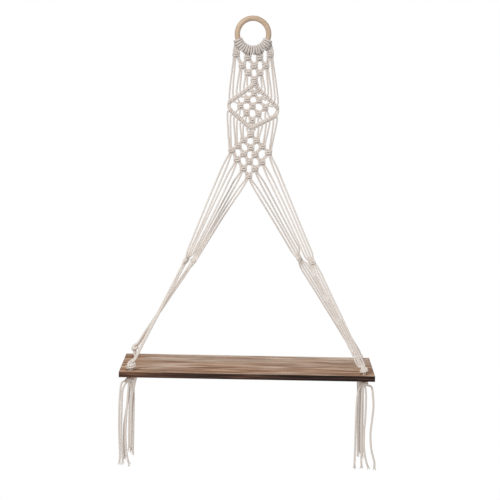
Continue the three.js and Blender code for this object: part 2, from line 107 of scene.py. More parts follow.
def place_camera():
    level = math.cos(CAMERA_PITCH)
    forward = Vector((
        math.sin(CAMERA_YAW) * level, math.cos(CAMERA_YAW) * level, -math.sin(CAMERA_PITCH),
    ))
    right = Vector((math.cos(CAMERA_YAW), -math.sin(CAMERA_YAW), 0))
    up = right.cross(forward)
    turned_right = math.cos(CAMERA_ROLL) * right + math.sin(CAMERA_ROLL) * up
    turned_up = math.cos(CAMERA_ROLL) * up - math.sin(CAMERA_ROLL) * right
    turn = Matrix((turned_right, turned_up, -forward)).transposed().to_4x4()
    bpy.ops.object.camera_add()
    camera = bpy.context.object
    camera.name = "shelf_camera"
    camera.matrix_world = Matrix.Translation(CAMERA_PLACE) @ turn
    camera.data.lens = CAMERA_LENS
    camera.data.sensor_width = CAMERA_SENSOR
    camera.data.clip_start = 0.01
    bpy.context.scene.camera = camera


deselect()
place_camera()


def cord_section():
    """The outline of three plies laid together."""
    outline = bpy.data.curves.new("cord_section", "CURVE")
    outline.dimensions = "2D"
    spline = outline.splines.new("POLY")
    spline.points.add(SECTION_POINTS - 1)
    for i in range(SECTION_POINTS):
        reach = CORD_RADIUS * PLY_REACH[i % 4]
        angle = math.tau * i / SECTION_POINTS
        spline.points[i].co = (reach * math.cos(angle), reach * math.sin(angle), 0, 1)
    spline.use_cyclic_u = True
    section = bpy.data.objects.new("cord_section", outline)
    bpy.context.collection.objects.link(section)
    return section


section = cord_section()


def smooth_line(points):
    """A smooth line (centripetal Catmull-Rom) through labelled points of (x, y, z, girth)."""
    knots = [points[0]]
    for point, label in points[1:]:
        if (point.xyz - knots[-1][0].xyz).length > NEAREST:
            knots.append((point, label))
    first = 2 * knots[0][0] - knots[1][0]
    last = 2 * knots[-1][0] - knots[-2][0]
    ends = [first] + [point for point, label in knots] + [last]
    line = [(knots[0][0], knots[0][1])]
    for i in range(len(knots) - 1):
        a, b, c, d = ends[i : i + 4]
        t1 = (b.xyz - a.xyz).length ** 0.5
        t2 = t1 + (c.xyz - b.xyz).length ** 0.5
        t3 = t2 + (d.xyz - c.xyz).length ** 0.5
        count = max(1, round((c.xyz - b.xyz).length / ROPE_STEP))
        for n in range(1, count + 1):
            t = t1 + (t2 - t1) * n / count
            between = (t - t1) / (t2 - t1)
            ab, bc, cd = a.lerp(b, t / t1), b.lerp(c, between), c.lerp(d, (t - t2) / (t3 - t2))
            point = ab.lerp(bc, t / t2).lerp(bc.lerp(cd, (t - t1) / (t3 - t1)), between)
            line.append((point, knots[i][1]))
    return line


def make_rope(name, lines):
    """Lays rope along lines of points of (x, y, z, girth) with the plies' turn at each."""
    curve = bpy.data.curves.new(name, "CURVE")
    curve.dimensions = "3D"
    curve.twist_mode = "MINIMUM"
    curve.bevel_mode = "OBJECT"
    curve.bevel_object = section
    curve.use_fill_caps = True
    for line in lines:
        spline = curve.splines.new("POLY")
        spline.points.add(len(line) - 1)
        for target, (point, turn) in zip(spline.points, line):
            target.co = (*point.xyz, 1)
            target.radius = point.w
            target.tilt = turn
    rope = bpy.data.objects.new(name, curve)
    bpy.context.collection.objects.link(rope)
    make_active(rope)
    bpy.ops.object.convert(target="MESH")
    rope = bpy.context.object
    mark_creases(rope.data)
    bpy.ops.object.mode_set(mode="EDIT")
    bpy.ops.mesh.select_all(action="SELECT")
    bpy.ops.mesh.remove_doubles(threshold=0.002 * MM)
    bpy.ops.mesh.normals_make_consistent(inside=False)
    bpy.ops.object.mode_set(mode="OBJECT")
    bpy.ops.object.shade_smooth()
    for face in rope.data.polygons:
        face.use_smooth = len(face.vertices) <= 4
    return rope


def mark_creases(mesh):
    """Stores how deep each point lies between the plies, 1 in a crease and 0 on a ply: the mask of
    the cotton's painted crease shade.
    """
    across = np.empty(2 * len(mesh.loops), dtype=np.float32)
    mesh.uv_layers[0].data.foreach_get("uv", across)
    places = np.rint(across.reshape(-1, 2)[:, 1] * (SECTION_POINTS - 1)).astype(int)
    corners = np.empty(len(mesh.loops), dtype=np.int32)
    mesh.loops.foreach_get("vertex_index", corners)
    depth = np.zeros(len(mesh.vertices), dtype=np.float32)
    depth[corners] = np.array(PLY_CREASE_SHADE, dtype=np.float32)[places % 4]
    mesh.attributes.new("crease", "FLOAT", "POINT").data.foreach_set("value", depth)


def with_turn(line, start_turn=0.0):
    """Adds to each point how far the plies have turned there."""
    turned = [(line[0][0], start_turn)]
    for (point, _), (before, _) in zip(line[1:], line):
        stride = (point.xyz - before.xyz).length
        turned.append((point, turned[-1][1] - math.tau * stride / PLY_PITCH))
    return turned


CORDS = 16
MIDDLE_PAIR = (7, 8)
strands = [[] for _ in range(CORDS)]


def run(cord, piece, points):
    """Leads a cord on through points of (x, y, z, girth) that belong to a piece."""
    strands[cord].extend((Vector(point), piece) for point in points)


def carry_on(cord, piece):
    """Lets the next piece begin where the cord has come to, and returns that place."""
    last = strands[cord].pop()[0]
    run(cord, piece, [last])
    return last.xyz


def lead_over(cord, target, z, piece):
    """Leads a cord down to a height on its way to a target, where the next piece begins."""
    last = strands[cord][-1][0]
    share = (last.z - z) / (last.z - target[2])
    place = last.xyz.lerp(Vector(target[:3]), share)
    run(cord, piece, [(*place, FREE)])


# A square knot, in knot units: right, forward and up from its middle
LEFT_WORKER = (
    (-1.5, 0.0, 1.45), (-1.5, 0.3, 1.0), (-1.0, 0.85, 0.62), (0.0, 1.0, 0.53), (0.95, 0.85, 0.45),
    (1.5, 0.1, 0.0), (0.95, 0.85, -0.45), (0.0, 1.0, -0.53), (-1.0, 0.85, -0.62), (-1.5, 0.3, -1.0),
    (-1.5, 0.0, -1.45),
)
RIGHT_WORKER = (
    (1.5, 0.0, 1.45), (1.7, 0.75, 1.05), (1.65, -0.2, 0.62), (0.9, -0.85, 0.55), (0.0, -0.98, 0.55),
    (-0.9, -0.85, 0.55), (-1.55, -0.3, 0.6), (-1.75, 0.5, 0.42), (-1.75, 0.85, 0.0),
    (-1.75, 0.5, -0.42), (-1.55, -0.3, -0.6), (-0.9, -0.85, -0.55), (0.0, -0.98, -0.55),
    (0.9, -0.85, -0.55), (1.6, -0.25, -0.72), (1.65, 0.3, -1.1), (1.5, 0.0, -1.45),
)
LEFT_CORE = ((-0.5, 0.0, 1.45), (-0.5, 0.0, 0.5), (-0.5, 0.0, -0.5), (-0.5, 0.0, -1.45))
RIGHT_CORE = ((0.5, 0.0, 1.45), (0.5, 0.0, 0.5), (0.5, 0.0, -0.5), (0.5, 0.0, -1.45))
# The knot unit in the nets and half way down the legs
KNOT_UNIT = 0.003
MID_KNOT_UNIT = 0.0027
# How far up and down a knot reaches, in knot units: beyond that its cords are free
KNOT_REACH = 1.0
# How much taller a knot is drawn, and how knots differ: their lean in degrees and their size
KNOT_TALL = 1.05
KNOT_LEANS = (-5, 5)
KNOT_SIZES = (0.97, 1.03)


def square_knot(
    middle, cords, piece, unit=KNOT_UNIT, turn=None, from_above=True, to_below=True, cut_at=None,
    wide=0.95,
):
    """Ties four cords in a square knot.

    Without from_above or to_below it joins another knot there. The cords that lead to it pass from
    their last piece to this one at the height cut_at, or else where they left their last knot.
    """
    if turn is None:
        turn = Matrix.Rotation(math.radians(chance.uniform(*KNOT_LEANS)), 3, "Y")
    size = unit * chance.uniform(*KNOT_SIZES)
    roles = [(LEFT_WORKER, WRAPPED), (LEFT_CORE, CORE), (RIGHT_CORE, CORE), (RIGHT_WORKER, WRAPPED)]
    if chance.random() < 0.5:
        roles = [([(-u, v, w) for u, v, w in role], tied) for role, tied in reversed(roles)]
    for cord, (role, tied) in zip(cords, roles):
        points = []
        for u, v, w in role[0 if from_above else 1 : None if to_below else -1]:
            place = Vector(middle) + turn @ (size * Vector((wide * u, -v, KNOT_TALL * w)))
            points.append((*place, FREE if abs(w) > KNOT_REACH else tied))
        if cut_at is not None:
            lead_over(cord, points[0], cut_at, piece)
        run(cord, piece, points)


def four_from(first):
    return range(first, first + 4)


# The hitches round the ring
HITCHES = 8
HITCH_ARC = math.radians(144)
WRAP_RADIUS = RING_ROD_RADIUS + CORD_RADIUS * WRAPPED
HALF_WRAP = HITCH_ARC / HITCHES / 4
# From the loop's middle at the rear, up over the ring, down its front and back under it:
# degrees about the rod, millimetres away from it, how far aside of the loop's middle, and the girth
HITCH_TURNS = (
    (-52, 2.5, 0.0, WRAPPED), (-58, 2.2, 0.7, WRAPPED), (-76, 1.0, 1.0, WRAPPED),
    (-105, 0, 1.0, WRAPPED), (-145, 0, 1.0, WRAPPED), (-180, 0, 1.0, 0.9), (-215, 0, 1.0, 0.98),
    (-255, 0, 1.0, 1.1), (-290, 0.2, 1.0, 1.28), (-330, 0.5, 1.0, 1.42), (-366, 0.5, 0.98, 1.4),
    (-388, 0.4, 0.93, 1.2),
)
# The last point of a hitch: back and up from where its cord enters the first knot, and the girth
HITCH_LAST = (0.5 * MM, 0.9 * MM, 1.08)
# From there on into the knot, where the cord ends thinner, so that no seam shows
HITCH_END = Vector((0, 0, -1.6 * MM, -0.1))
# The middles of the first row of knots, across and up, in millimetres
HEADING_KNOTS = ((-26.7, -54.6), (-7.9, -59.4), (11.4, -59.4), (28.5, -54.2))


def hitch_place(angle, around, radius):
    """A place at an angle along the ring, and at an angle and a radius about its rod."""
    out = RING_RADIUS + radius * math.cos(around)
    across, up = out * math.sin(angle), RING_CENTRE_Z - out * math.cos(angle)
    return Vector((across, -radius * math.sin(around), up))


def hitch_half(hitch_angle, side, end):
    """Half a hitch, from the loop's middle to where its cord enters the first knot."""
    points = []
    for degrees, away, across, girth in HITCH_TURNS:
        angle = hitch_angle + side * across * HALF_WRAP
        place = hitch_place(angle, math.radians(degrees), WRAP_RADIUS + away * MM)
        points.append((*place, girth))
    back, up, girth = HITCH_LAST
    return points + [(end[0], end[1] + back, end[2] + up, girth), end]


def heading():
    """Ties the first row of knots, and returns the lines of the hitches that lead into it."""
    for i, (x, z) in enumerate(HEADING_KNOTS):
        square_knot((x * MM, 0, z * MM), four_from(4 * i), "heading_knot_" + str(i + 1))
    hitches = {}
    for i in range(HITCHES):
        hitch_angle = HITCH_ARC * ((i + 0.5) / HITCHES - 0.5)
        halves = []
        for side in (-1, 1):
            end = strands[2 * i + (side + 1) // 2][0][0]
            points = hitch_half(hitch_angle, side, end) + [end + HITCH_END]
            halves.append([(Vector(point), "hitch") for point in points])
        hitches["ring_hitch_" + str(i + 1)] = halves[0][::-1] + halves[1][1:]
    return hitches


hitches = heading()

# The knots of the nets: the first cord of each, and its middle, across and up, in millimetres
UPPER_KNOTS = (
    (2, -16.5, -72.9), (6, 2.8, -72.7), (10, 21.5, -72.7), (4, -7.0, -84.1), (8, 12.0, -84.1),
)
# The first row of the upper net lies above this height, in millimetres
UPPER_FIRST_ROW = -80
# Two knots tied as one
CENTRE_KNOTS = ((6, 3.4, -94.6), (6, 3.8, -101.0))
DIAMOND_KNOTS = (
    (5, 3.2, -117.2), (3, -7.6, -127.6), (7, 11.7, -128.2), (1, -18.6, -137.8), (5, 1.0, -138.0),
    (9, 22.0, -140.4), (3, -8.6, -149.4), (7, 11.0, -150.6), (5, 0.8, -161.6),
)
LOWER_KNOTS = (
    (6, -0.9, -184.8), (4, -12.3, -194.3), (8, 8.8, -194.6), (2, -21.5, -203.6),
    (6, -0.8, -206.2), (10, 18.3, -204.0), (0, -31.3, -210.9), (4, -11.6, -216.9),
    (8, 6.9, -217.9), (12, 28.9, -214.0), (2, -22.5, -226.2), (6, -2.6, -229.4),
    (10, 18.0, -230.0), (4, -12.3, -240.8), (8, 7.1, -241.2), (6, -3.2, -253.4),
)
DIAMOND_TOPS = {-1: Vector((2.2, 0, -103.4)) * MM, 1: Vector((5.4, 0, -104.6)) * MM}
# The corners on both sides, where the upper bar (True) ends over the lower one (False)
DIAMOND_CORNERS = {
    (-1, True): Vector((-38.4, 0, -133.4)) * MM, (-1, False): Vector((-37.6, 0, -143.4)) * MM,
    (1, True): Vector((43.4, 0, -141.4)) * MM, (1, False): Vector((41.2, 0, -152.6)) * MM,
}
DIAMOND_BOTTOM = Vector((-0.9, 0, -174.6)) * MM
# A hitch on a bar: its size up and forward, how far off its cord comes and leaves,
# and its turns round the core, in degrees
BAR_RISE = 0.0023
BAR_DEPTH = 0.0018
BAR_REACH = 4.6 * MM
BAR_TURNS = (10, 60, 120, 180, 240, 300, 360, 420, 480, 530)
BAR_HITCH_GIRTH = 1.12
BAR_HITCHES = 7
# Where the core cord enters an upper bar and leaves a lower one: aside and up from the bar's end
CORE_IN = (0.0012, 0.0034)
CORE_OUT = (0.0011, -0.0028)
CORE_STEPS = 4
# How far aside and up or down the outermost cord passes a corner's hitch, in millimetres
CORNER_LEAD = (0.4, 4.4)
# The two outer cords on each side run past the upper net
SIDE_CORDS = (0, 1, CORDS - 2, CORDS - 1)


def upper_net():
    for first, x, z in UPPER_KNOTS:
        cut_at = HEADING_END_Z if z > UPPER_FIRST_ROW else None
        square_knot((x * MM, 0, z * MM), four_from(first), "upper_net", cut_at=cut_at)
    for n, (first, x, z) in enumerate(CENTRE_KNOTS):
        square_knot(
            (x * MM, 0, z * MM), four_from(first), "upper_net", from_above=n == 0, to_below=n == 1,
        )


def bar_core(side, upper, piece, top, corner):
    """The innermost cord of a side runs along inside the bar, thin where the hitches cover it."""
    core = MIDDLE_PAIR[0 if side < 0 else 1]
    start, end = (top, corner) if upper else (corner, top)
    if upper:
        run(core, piece, [(*(top + Vector((side * CORE_IN[0], 0, CORE_IN[1]))), CORE)])
    for step in range(CORE_STEPS + 1):
        at_corner = step == (CORE_STEPS if upper else 0)
        run(core, piece, [(*start.lerp(end, step / CORE_STEPS), WRAPPED if at_corner else HIDDEN)])
    if not upper:
        run(core, piece, [(*(top + Vector((side * CORE_OUT[0], 0, CORE_OUT[1]))), WRAPPED)])


def bar(side, upper):
    """A bar of the diamond: seven cords of a side wind one and a half times round its core."""
    hand = "_left" if side < 0 else "_right"
    piece = "diamond_bar_" + ("upper" if upper else "lower") + hand
    top = DIAMOND_TOPS[side] if upper else DIAMOND_BOTTOM
    corner = DIAMOND_CORNERS[side, upper]
    bar_core(side, upper, piece, top, corner)
    along = (corner - top).normalized()
    above = Vector((-along.z * side, 0, along.x * side))
    front = Vector((0, -1, 0))
    quarter = (corner - top).length / BAR_HITCHES / 4
    for j in range(BAR_HITCHES):
        cord = j if side < 0 else CORDS - 1 - j
        middle = top.lerp(corner, (BAR_HITCHES - j - 0.5) / BAR_HITCHES)
        entry = middle + BAR_REACH * above - quarter * along
        leave = middle - BAR_REACH * above + quarter * along
        after = "diamond_net" if upper else "lower_net"
        if j == 0 and upper:
            leave = middle + Vector((side * CORNER_LEAD[0], 0, -CORNER_LEAD[1])) * MM
            after = "diamond_bar_lower" + hand
        elif j == 0:
            entry = middle + Vector((side * CORNER_LEAD[0], 0, CORNER_LEAD[1])) * MM
        if upper and cord in SIDE_CORDS:
            lead_over(cord, (*entry, FREE), HEADING_END_Z, piece)
        points = [(*entry, FREE)]
        for degrees in BAR_TURNS:
            around = math.radians(degrees)
            # From its first turn to its second the cord moves on along the bar
            shift = quarter * max(-1, min(1, (degrees - 270) / 90))
            place = middle + shift * along + BAR_RISE * math.cos(around) * above
            points.append((*(place + BAR_DEPTH * math.sin(around) * front), BAR_HITCH_GIRTH))
        run(cord, piece, points)
        run(cord, after, [(*leave, FREE)])


def diamond_net():
    """The net inside the bars, tied in the fourteen cords that are hitched to them."""
    hitched = [cord for cord in range(CORDS) if cord not in MIDDLE_PAIR]
    for first, x, z in DIAMOND_KNOTS:
        square_knot((x * MM, 0, z * MM), hitched[first : first + 4], "diamond_net", wide=0.8)


def lower_net():
    for first, x, z in LOWER_KNOTS:
        square_knot((x * MM, 0, z * MM), four_from(first), "lower_net")


upper_net()
for side in (-1, 1):
    bar(side, upper=True)
diamond_net()
for side in (-1, 1):
    bar(side, upper=False)
for core in MIDDLE_PAIR:
    carry_on(core, "lower_net")
lower_net()


# Each leg: its first cord, the knot half way down and its twist in degrees, and the leg's hole
LEGS = {
    "front_left": (0, (-104.2, -26.0, -392.2), 58, (-HOLE_X, -HOLE_Y)),
    "rear_left": (4, (-93.9, 25.0, -400.9), -52, (-HOLE_X, HOLE_Y)),
    "rear_right": (8, (83.9, 25.0, -393.2), 48, (HOLE_X, HOLE_Y)),
    "front_right": (12, (103.8, -26.0, -391.8), -8, (HOLE_X, -HOLE_Y)),
}
# A leg's cords run to a gate over its knot half way down: how far apart and aside they are there
GATE_RISE = 14
GATES = {
    "front_left": (3.1, 0), "rear_left": (2.8, -1.4),
    "rear_right": (4.3, 1.8), "front_right": (4.3, 0.3),
}
# How far aside of straight each cord of a fan runs half way, in millimetres
FAN_ASIDE = {
    "front_left": (-0.8, 0.8, 0, 1.2), "rear_left": (0.6, 0.4, -1.2, -1.8),
    "rear_right": (0.6, 0.6, -0.4, 0.2), "front_right": (0.6, 0.8, 0.4, -0.8),
}
# How far below that knot the cords are gathered, and how loosely
GATHERED = (16 * MM, 40 * MM)
GATHERED_SPREAD = 1.15
# Legs whose cords run on side by side: millimetres apart and aside, below that knot and at the next
ROWS = {"rear_right": (4.1, 0.3, 3.5, -0.6), "front_right": (3.9, -0.4, 3.15, 0)}
# The knots over the board: their middles and sizes
TOP_KNOTS = {
    "front_left": (Vector((-191.2, -54.0, -565.0)) * MM, 1.42),
    "rear_left": (Vector((-193.8, 54.0, -558.6)) * MM, 1.0),
    "rear_right": (Vector((192.2, 54.0, -566.6)) * MM, 0.88),
    "front_right": (Vector((192.3, -54.0, -565.8)) * MM, 1.15),
}
# An overhand knot, in knot units: right, forward and up from its middle
OVERHAND = (
    (0.0, 0.0, 1.5), (0.02, -0.2, 0.85), (0.12, -0.4, 0.25), (0.0, -0.55, -0.35),
    (-0.5, -0.4, -0.45), (-0.72, 0.05, -0.28), (-0.4, 0.55, -0.12), (0.15, 0.66, 0.02),
    (0.62, 0.3, 0.14), (0.62, -0.25, 0.3), (0.15, -0.5, 0.46), (-0.38, -0.28, 0.5),
    (-0.42, 0.12, 0.3), (-0.12, 0.15, -0.2), (0.0, 0.05, -0.8), (0.0, 0.0, -1.4),
)
OVERHAND_UNIT = 5.3 * MM
# How far up and down it reaches, in knot units, and how its cords spread in it and outside
OVERHAND_REACH = 1.2
OVERHAND_SPREAD = (0.92, 0.95)
OVERHAND_GIRTH = 0.96
# How far over such a knot its cords come together, and how deep they lie in the board's hole
KNOT_LEAD = 8 * MM
NECK_DEPTHS = (1 * MM, 6.5 * MM)
# The knots under the board: their size, how flat they are and how far they lie below UNDER_KNOT_Z
UNDER_SIZE = 1.22
UNDER_FLAT = 0.76
UNDER_DROP = 0.6 * MM
# The natural bow of a cord in a fan and below it, and the ripple in it, as a share of the bow
FAN_BOW = 0.3 * MM
LEG_BOW = 0.35 * MM
RIPPLE = 0.35
RIPPLE_WAVES = 9
# In how many steps such a cord is led on
FAN_STEPS = 8
LEG_STEPS = 5
# How far a cord of a bunch lies from the bunch's middle
BUNCH = 0.00172
# How far the two cords of a pair part as they leave the net
FAN_PART = 0.0018


def bunch(centres):
    """Four lines side by side, two and two, along a line of (place, girth, spread)."""
    places = [centre[0] for centre in centres]
    right = Vector((1, 0, 0))
    lines = [[] for _ in range(4)]
    for i, (place, girth, spread) in enumerate(centres):
        ahead = places[min(i + 1, len(places) - 1)] - places[max(i - 1, 0)]
        ahead.normalize()
        right = (right - right.dot(ahead) * ahead).normalized()
        back = right.cross(ahead)
        for n in range(4):
            angle = math.radians(225 - 90 * n)
            offset = BUNCH * spread * (math.cos(angle) * right - math.sin(angle) * back)
            lines[n].append((*(place + offset), girth))
    return lines


def overhand(middle, size, flat=1.0):
    """The line of a bunch of cords through an overhand knot, as (place, girth, spread)."""
    line = []
    for u, v, w in OVERHAND:
        inside = abs(w) < OVERHAND_REACH
        place = middle + size * OVERHAND_UNIT * Vector((u, -v * flat, w * (flat if inside else 1)))
        spread = OVERHAND_SPREAD[0] * size if inside else OVERHAND_SPREAD[1]
        line.append((place, OVERHAND_GIRTH, spread))
    return line


def slack_points(start, end, count, bow, part=0.0, fan=0.0):
    """Points on a cord that runs between two places with a slight natural bow.

    Part sets it aside where it starts, and fan half way along.
    """
    points = []
    aside, forth = chance.uniform(-1, 1) * bow, chance.uniform(-1, 1) * bow
    wave = chance.uniform(0, math.tau)
    for i in range(1, count):
        share = i / count
        arch = math.sin(math.pi * share)
        ripple = math.sin(wave + RIPPLE_WAVES * share) * RIPPLE * bow * arch
        aside_here = (aside + fan) * arch + ripple + part * (1 - share**2)
        place = start.lerp(end, share) + Vector((aside_here, forth * arch, 0))
        points.append((*place, FREE))
    return points


def leg(place):
    """Leads four cords from the lower net down to the knot under the board."""
    first, mid, twist, hole = LEGS[place]
    mid = Vector(mid) * MM
    knot, size = TOP_KNOTS[place]
    slope = (knot - mid).normalized()
    lean = Matrix.Rotation(-math.atan2(slope.x, -slope.z), 3, "Y")
    turn = lean @ Matrix.Rotation(math.radians(twist), 3, "Z")
    cords = four_from(first)

    def abreast(i, gap, aside, rise=0):
        """How far the leg's cord i lies from its middle, with the four side by side."""
        return lean @ (MM * Vector((gap * (i - 1.5) + aside, 0, rise)))

    # From the net to the knot half way down
    fan_piece = "leg_fan_" + place
    for i, cord in enumerate(cords):
        start = carry_on(cord, fan_piece)
        above = mid + abreast(i, *GATES[place], GATE_RISE)
        part = (1 if i % 2 else -1) * FAN_PART
        fan = FAN_ASIDE[place][i] * MM
        run(cord, fan_piece, slack_points(start, above, FAN_STEPS, FAN_BOW, part, fan))
        run(cord, fan_piece, [(*above, FREE)])
    square_knot(mid, cords, fan_piece, unit=MID_KNOT_UNIT, turn=turn, wide=1.0)
    # On to the knot over the board, through it and the hole, and through the knot under the board
    through = overhand(knot, size)
    through[0] = (knot - slope * KNOT_LEAD * size, *through[0][1:])
    neck = [(Vector((*hole, BOARD_TOP_Z - depth)), WRAPPED, 1.0) for depth in NECK_DEPTHS]
    under = Vector((*hole, UNDER_KNOT_Z - UNDER_DROP))
    below = overhand(under, UNDER_SIZE, UNDER_FLAT)[1:-1]
    lines = bunch(through + neck + below)
    gathered = bunch([(mid + slope * drop, FREE, GATHERED_SPREAD) for drop in GATHERED])
    if place in ROWS:
        gap, aside, end_gap, end_aside = ROWS[place]
        for i in range(4):
            for n, drop in enumerate(GATHERED):
                gathered[i][n] = (*(mid + slope * drop + abreast(i, gap, aside)), FREE)
            lines[i][0] = (*(through[0][0] + abreast(i, end_gap, end_aside)), FREE)
    cords_piece = "leg_cords_" + place
    for i, cord in enumerate(cords):
        carry_on(cord, cords_piece)
        run(cord, cords_piece, gathered[i])
        start, end = Vector(gathered[i][1][:3]), Vector(lines[i][0][:3])
        run(cord, cords_piece, slack_points(start, end, LEG_STEPS, LEG_BOW))
        run(cord, "top_knot_" + place, lines[i][: len(through) - 1])
        run(cord, "under_knot_" + place, lines[i][len(through) - 1 :])


for place in LEGS:
    leg(place)


def headings(places):
    """The direction of a line at each of its points."""
    strides = [(b - a).normalized() for a, b in zip(places, places[1:])]
    between = [(a + b).normalized() for a, b in zip(strides, strides[1:])]
    return [strides[0], *between, strides[-1]]


def carried_sides(ahead):
    """A direction square to a line, carried along it without turning about it."""
    sides = [ahead[0].orthogonal().normalized()]
    for a, b in zip(ahead, ahead[1:]):
        sides.append(a.rotation_difference(b) @ sides[-1])
    return sides


# The girth at which a cord ends inside the next piece, as a share of its own
TUCKED = 0.94


def rope_lines():
    """Every cord as one smooth line, cut where the next piece of the shelf begins."""
    pieces = {}
    for strand in strands:
        line = smooth_line(strand)
        labels = [label for _, label in line]
        places = [point.xyz for point, _ in line]
        ahead = headings(places)
        sides = carried_sides(ahead)
        turned = with_turn(line, chance.uniform(0, math.tau))
        start = 0
        while start < len(line) - 1:
            label = labels[start + 1]
            end = start + 1
            while end < len(line) - 1 and labels[end + 1] == label:
                end += 1
            # A curve's first section faces as this quaternion says: the plies are turned to match
            first = (places[start + 1] - places[start]).normalized()
            own = first.to_track_quat("Z", "Y") @ Vector((-1, 0, 0))
            wanted = ahead[start].rotation_difference(first) @ sides[start]
            offset = math.atan2(first.dot(own.cross(wanted)), own.dot(wanted))
            offset -= math.tau * round((turned[start][1] + offset) / math.tau)
            piece_line = [(point, turn + offset) for point, turn in turned[start : end + 1]]
            if end + 1 < len(line):
                # Its end lies just inside the next piece, so that no seam shows
                point, turn = turned[end + 1]
                piece_line.append((Vector((*point.xyz, TUCKED * point.w)), turn + offset))
            pieces.setdefault(label, []).append(piece_line)
            start = end
    return pieces


# The bodies of the pieces whose names begin so
BODIES = {
    "leg": "shelf_hanger", "top": "shelf_hanger", "under": "shelf_hanger", "heading": "heading",
}
ropes = []
for name, lines in rope_lines().items():
    rope = make_rope("rope_" + name, lines)
    ropes.append(rope)
    if name.split("_")[0] in BODIES:
        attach(rope, BODIES[name.split("_")[0]])
    elif name == "upper_net" or name.startswith("diamond_bar_upper"):
        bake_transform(rope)
    elif name == "lower_net":
        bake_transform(rope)
    else:
        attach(rope, "upper_panel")
    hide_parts(name)
for name, points in hitches.items():
    line = with_turn(smooth_line(points), chance.uniform(0, math.tau))
    rope = make_rope("rope_" + name, [line])
    ropes.append(rope)
    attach(rope, "heading")
    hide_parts(name)


# The shares of its drop at which a cord's places are given
TASSEL_SHARES = (0.038, 0.075, 0.135, 0.23, 0.385, 0.575, 0.757, 0.912, 1)
# Each cord of a tassel: how far it hangs, how far it lies across and back there, in millimetres,
# and whether it leaves its knot from the side
TASSELS = {
    "front_left": (
        (147, (-14.2, -15, -15.9, -16.8, -17.3, -17.4, -16.4, -15.9, -17.2),
         (0, -0.3, -0.6, -1, -1.4, -1.6, -1.6, -1.6, -1.6), True),
        (146.5, (-4.6, -8.6, -11.8, -12.8, -13.4, -13.7, -12.9, -11.6, -11.2),
         (0, -0.3, -0.6, -0.8, -0.8, -0.8, -0.8, -0.8, -0.8), False),
        (149, (-1, -1.8, -2.6, -3.6, -5.2, -6.6, -6.2, -3.2, 0.2),
         (0, -0.2, -0.4, -0.6, -0.8, -1, -1, -1, -1), False),
        (139, (2.6, 2, 0.4, -2, -6, -9.2, -9.6, -8.8, -8),
         (0, 1, 2.6, 3.8, 4.2, 4, 3.8, 3.6, 3.4), False),
    ),
    "rear_left": (
        (155, (-5.4, -7.4, -8.6, -9.2, -9.6, -10, -10.3, -10.3, -10.3),
         (0, -0.2, -0.4, -0.6, -0.8, -0.8, -0.8, -0.8, -0.8), False),
        (163, (-1.8, -2.2, -2.6, -2.8, -2.4, -2.6, -2.9, -3.2, -3.6),
         (0, 0.1, 0.2, 0.2, 0.2, 0.2, 0.2, 0.2, 0.2), False),
        (158, (1.9, 1.1, -1.2, -4, -5.8, -6.2, -6.6, -6.8, -7),
         (0, 2.4, 4, 4.2, 3.6, 3.4, 3.2, 3.2, 3.2), False),
        (154, (5.4, 4.6, 2.4, -1, -5, -6.2, -6.5, -6.7, -6.8),
         (0, -1.6, -3.6, -4.2, -3.4, -1.6, -1.2, -1, -1), False),
    ),
    "front_right": (
        (147.5, (-5.4, -8, -9.8, -10.8, -11.3, -11.6, -11.6, -11.8, -12.1),
         (0, -0.2, -0.4, -0.6, -0.6, -0.6, -0.6, -0.6, -0.6), False),
        (147, (-1.8, -2.2, -2.4, -2.5, -2.4, -2.1, -1.4, -0.5, 0),
         (0, 0.1, 0.2, 0.4, 0.4, 0.4, 0.4, 0.4, 0.4), False),
        (147, (1.8, 3, 3.8, 4.1, 3.9, 2.6, 3.4, 7.6, 12),
         (0, -0.2, -0.4, -0.6, -0.8, -1, -1, -1, -1), False),
        (148.5, (13.8, 14.7, 15.8, 17, 15.6, 13.4, 15.6, 21.2, 21.9),
         (0, 0.2, 0.6, 0.8, 1, 1.2, 1.2, 1.2, 1.2), True),
    ),
    "rear_right": (
        (157, (-5.4, -4.6, -3, -2, -1.4, -0.8, -0.2, 0.4, 1),
         (0, -0.6, -1.4, -2, -2.4, -2.4, -2.4, -2.4, -2.4), False),
        (152, (-1.8, -0.8, 0.6, 1.8, 2.6, 3, 3.4, 3.8, 4.4),
         (0, 0.4, 0.9, 1.4, 1.6, 1.6, 1.6, 1.6, 1.6), False),
        (155, (1.8, 2.6, 3.6, 4.4, 4.8, 5.2, 5.4, 5.6, 5.8),
         (0, 1.6, 3.2, 4.4, 4.8, 4.8, 4.8, 4.8, 4.8), False),
        (161, (5.4, 5.6, 5.8, 6.4, 7, 7.4, 8, 8.6, 9.1),
         (0, -0.8, -1.4, -2, -2.4, -2.6, -2.6, -2.6, -2.6), False),
    ),
}
# Where a cord leaves the knot at its bottom, and inside it before that: the share across and up
KNOT_BOTTOM = 5.6 * MM
BOTTOM_START = (0.62, 3.6 * MM)
# Where it leaves the knot at its side and bends down, and inside it before that: inward and up
SIDE_EXIT = 7.8 * MM
SIDE_BEND = 6.4 * MM
SIDE_DROP = 4.4 * MM
SIDE_START = ((5.4 * MM, 2.6 * MM), (2.2 * MM, 0.3 * MM))
# How a ply leaves its cord near the end: how far out it begins, how far it opens in millimetres,
# its turn in radians, and its girth at first and how much of it is lost
FRAYED_STEPS = 7
PLY_OUT = 0.75 * MM
PLY_OPENINGS = (0.9, 2.0)
PLY_TURN = 1.2
PLY_GIRTH = 0.6
PLY_THINNING = 0.14


